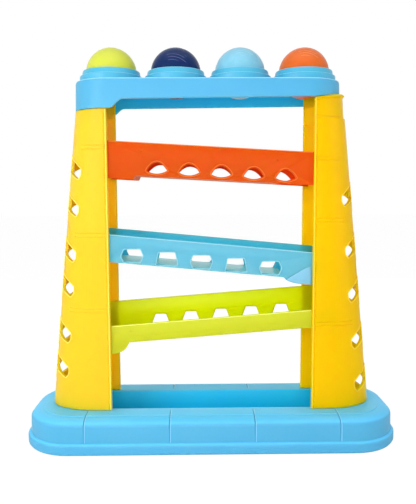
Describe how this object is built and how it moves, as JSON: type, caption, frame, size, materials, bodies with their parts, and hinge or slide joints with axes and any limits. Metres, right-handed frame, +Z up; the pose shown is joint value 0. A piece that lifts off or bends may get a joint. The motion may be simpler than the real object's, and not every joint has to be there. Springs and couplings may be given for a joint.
{
  "type": "ball pounding bench",
  "caption": "Toddler's pound-and-roll tower: balls held in soft collars on a deck drop through onto sloping ramps between two hollow pillars and run down into a base tray.",
  "frame": {"origin": "under the middle of the base tray, on the surface that the toy stands on", "axes": "+Z up, +X along the row of balls to the right as pictured, -Y to the front"},
  "size_m": [0.344, 0.116, 0.362],
  "materials": {
    "sky_plastic": "satin moulded",
    "yellow_plastic": "satin moulded",
    "amber_plastic": "satin moulded",
    "orange_plastic": "satin moulded",
    "teal_plastic": "satin moulded",
    "lime_plastic": "satin moulded",
    "collar_plastic": "soft moulded",
    "lime_ball": "gloss",
    "navy_ball": "gloss",
    "sky_ball": "gloss",
    "orange_ball": "gloss",
    "screw_steel": "plated"
  },
  "bodies": {
    "tower": {"base_tray": "sky_plastic", "left_pillar": "yellow_plastic", "right_pillar": "amber_plastic", "top_deck": "sky_plastic", "upper_ramp": "orange_plastic", "middle_ramp": "teal_plastic", "lower_ramp": "lime_plastic", "grip_collar_1": "collar_plastic", "grip_collar_2": "collar_plastic", "grip_collar_3": "collar_plastic", "grip_collar_4": "collar_plastic", "base_screw_1": "screw_steel", "base_screw_2": "screw_steel", "base_screw_3": "screw_steel", "base_screw_4": "screw_steel", "base_screw_5": "screw_steel", "base_screw_6": "screw_steel"},
    "first_ball": {"ball_lime": "lime_ball"},
    "second_ball": {"ball_navy": "navy_ball"},
    "third_ball": {"ball_sky": "sky_ball"},
    "fourth_ball": {"ball_orange": "orange_ball"}
  },
  "joints": [
    {"name": "first_ball_drop", "type": "slide", "parent": "tower", "child": "first_ball", "axis": [0, 0, 1], "range_m": [-0.1455, 0.03]},
    {"name": "second_ball_drop", "type": "slide", "parent": "tower", "child": "second_ball", "axis": [0, 0, 1], "range_m": [-0.0702, 0.03]},
    {"name": "third_ball_drop", "type": "slide", "parent": "tower", "child": "third_ball", "axis": [0, 0, 1], "range_m": [-0.0737, 0.03]},
    {"name": "fourth_ball_drop", "type": "slide", "parent": "tower", "child": "fourth_ball", "axis": [0, 0, 1], "range_m": [-0.1667, 0.03]}
  ]
}
